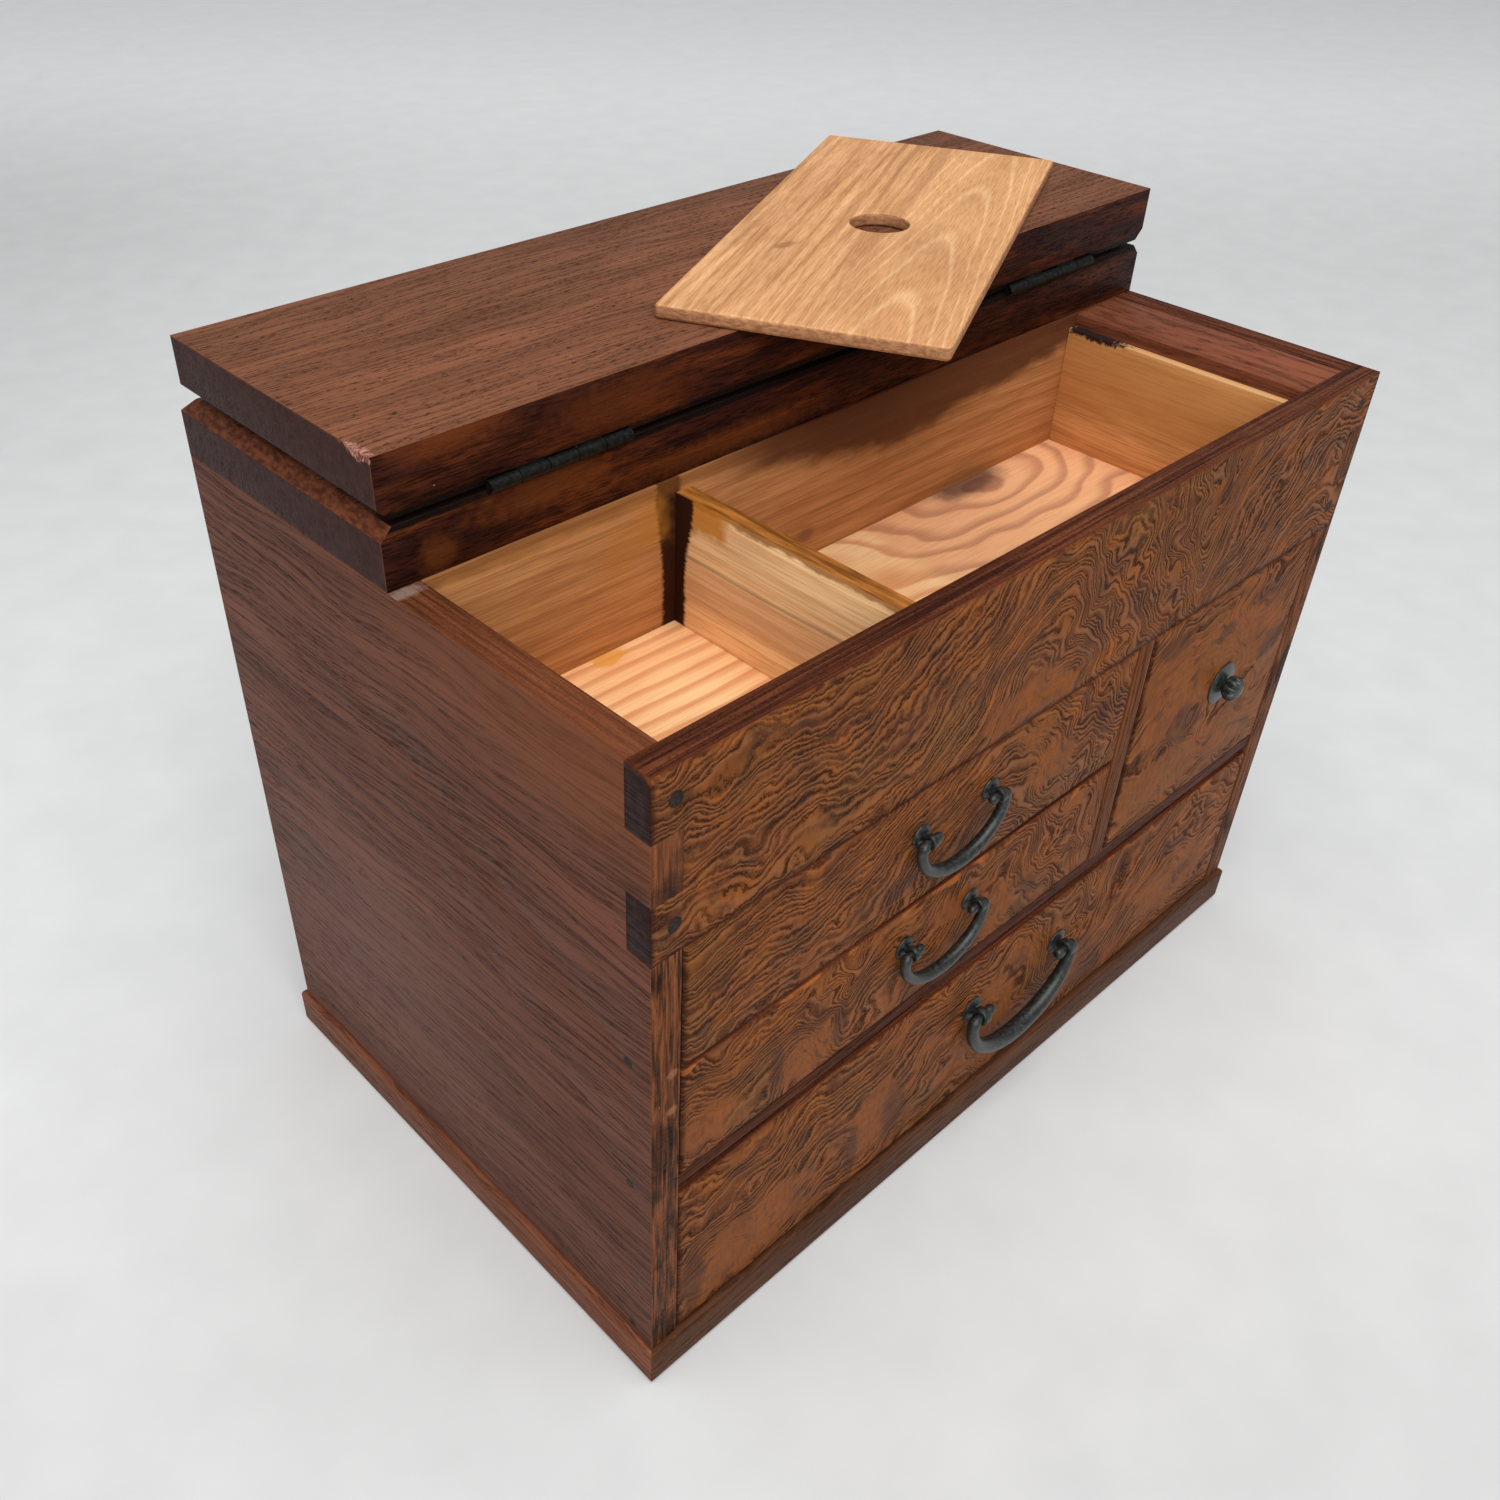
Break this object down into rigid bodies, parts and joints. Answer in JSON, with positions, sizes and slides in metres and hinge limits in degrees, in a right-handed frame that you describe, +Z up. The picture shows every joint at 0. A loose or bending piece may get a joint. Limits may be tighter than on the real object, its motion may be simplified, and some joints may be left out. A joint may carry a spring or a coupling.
{
  "type": "sewing box",
  "caption": "Wooden sewing box with a folding top on butt hinges, lined compartments, a loose tray lid and drawers with iron bail pulls and a knob.",
  "frame": {"origin": "on the ground under the middle of the case", "axes": "+X to the right seen from the drawer fronts, +Y to the back, +Z up"},
  "size_m": [0.2832, 0.1852, 0.2413],
  "materials": {
    "plinth": "dark stained, rubbed",
    "case": "dark stained, rubbed",
    "fascia": "figured, lacquered",
    "shelves": "dark stained, rubbed",
    "top_boards": "dark stained, rubbed",
    "lining": "bare planed softwood",
    "tray_lid": "bare planed softwood",
    "drawer_fronts": "figured, lacquered",
    "drawer_boxes": "bare planed softwood",
    "iron": "blackened, worn"
  },
  "bodies": {
    "case": {"plinth_front_rail": "plinth", "plinth_back_rail": "plinth", "plinth_left_rail": "plinth", "plinth_right_rail": "plinth", "side_left": "case", "side_right": "case", "fascia_pegs": "case", "side_nails": "case", "back_panel": "case", "drawer_partition": "case", "right_filler_board": "case", "front_fascia": "fascia", "bottom_board": "shelves", "lower_shelf": "shelves", "upper_shelf": "shelves", "compartment_floor": "lining", "compartment_back_wall": "lining", "compartment_divider": "lining", "right_liner": "lining", "fixed_top_board": "top_boards", "hinge_fixed_leaves": "iron", "hinge_fixed_screws": "iron", "hinge_pins": "iron"},
    "lid": {"folding_lid": "top_boards", "hinge_lid_leaves": "iron", "hinge_lid_screws": "iron"},
    "loose_tray_lid": {"tray_lid": "tray_lid"},
    "top_left_drawer": {"top_left_drawer_front": "drawer_fronts", "top_left_drawer_left_side": "drawer_boxes", "top_left_drawer_right_side": "drawer_boxes", "top_left_drawer_back": "drawer_boxes", "top_left_drawer_bottom": "drawer_boxes", "top_left_pull_posts": "iron", "top_left_pull_rosettes": "iron"},
    "middle_left_drawer": {"middle_left_drawer_front": "drawer_fronts", "middle_left_drawer_left_side": "drawer_boxes", "middle_left_drawer_right_side": "drawer_boxes", "middle_left_drawer_back": "drawer_boxes", "middle_left_drawer_bottom": "drawer_boxes", "middle_left_pull_posts": "iron", "middle_left_pull_rosettes": "iron"},
    "right_drawer": {"right_drawer_front": "drawer_fronts", "right_drawer_left_side": "drawer_boxes", "right_drawer_right_side": "drawer_boxes", "right_drawer_back": "drawer_boxes", "right_drawer_bottom": "drawer_boxes", "right_knob": "iron", "right_knob_rosette": "iron"},
    "bottom_drawer": {"bottom_drawer_front": "drawer_fronts", "bottom_drawer_left_side": "drawer_boxes", "bottom_drawer_right_side": "drawer_boxes", "bottom_drawer_back": "drawer_boxes", "bottom_drawer_bottom": "drawer_boxes", "bottom_pull_posts": "iron", "bottom_pull_rosettes": "iron"},
    "top_left_pull": {"top_left_bail": "iron"},
    "middle_left_pull": {"middle_left_bail": "iron"},
    "bottom_pull": {"bottom_bail": "iron"}
  },
  "joints": [
    {"name": "lid_hinge", "type": "hinge", "parent": "case", "child": "lid", "pos_m": [0, -0.0015, 0.22185], "axis": [1, 0, 0], "range_deg": [0, 180]},
    {"name": "tray_lid_lift", "type": "slide", "parent": "case", "child": "loose_tray_lid", "axis": [0, 0, 1], "range_m": [0, 0.38]},
    {"name": "top_left_drawer_slide", "type": "slide", "parent": "case", "child": "top_left_drawer", "axis": [0, -1, 0], "range_m": [0, 0.12]},
    {"name": "middle_left_drawer_slide", "type": "slide", "parent": "case", "child": "middle_left_drawer", "axis": [0, -1, 0], "range_m": [0, 0.12]},
    {"name": "right_drawer_slide", "type": "slide", "parent": "case", "child": "right_drawer", "axis": [0, -1, 0], "range_m": [0, 0.12]},
    {"name": "bottom_drawer_slide", "type": "slide", "parent": "case", "child": "bottom_drawer", "axis": [0, -1, 0], "range_m": [0, 0.12]},
    {"name": "top_left_bail_swing", "type": "hinge", "parent": "top_left_drawer", "child": "top_left_pull", "pos_m": [-0.03995, -0.0889, 0.1423], "axis": [-1, 0, 0], "range_deg": [-4, 100]},
    {"name": "middle_left_bail_swing", "type": "hinge", "parent": "middle_left_drawer", "child": "middle_left_pull", "pos_m": [-0.03995, -0.0889, 0.1043], "axis": [-1, 0, 0], "range_deg": [-4, 100]},
    {"name": "bottom_bail_swing", "type": "hinge", "parent": "bottom_drawer", "child": "bottom_pull", "pos_m": [0.0068, -0.0896, 0.0518], "axis": [-1, 0, 0], "range_deg": [-2, 100]}
  ],
  "couplings": [
    {"joint": "tray_lid_lift", "follows": "lid_hinge", "m_per_rad": 0.12}
  ]
}
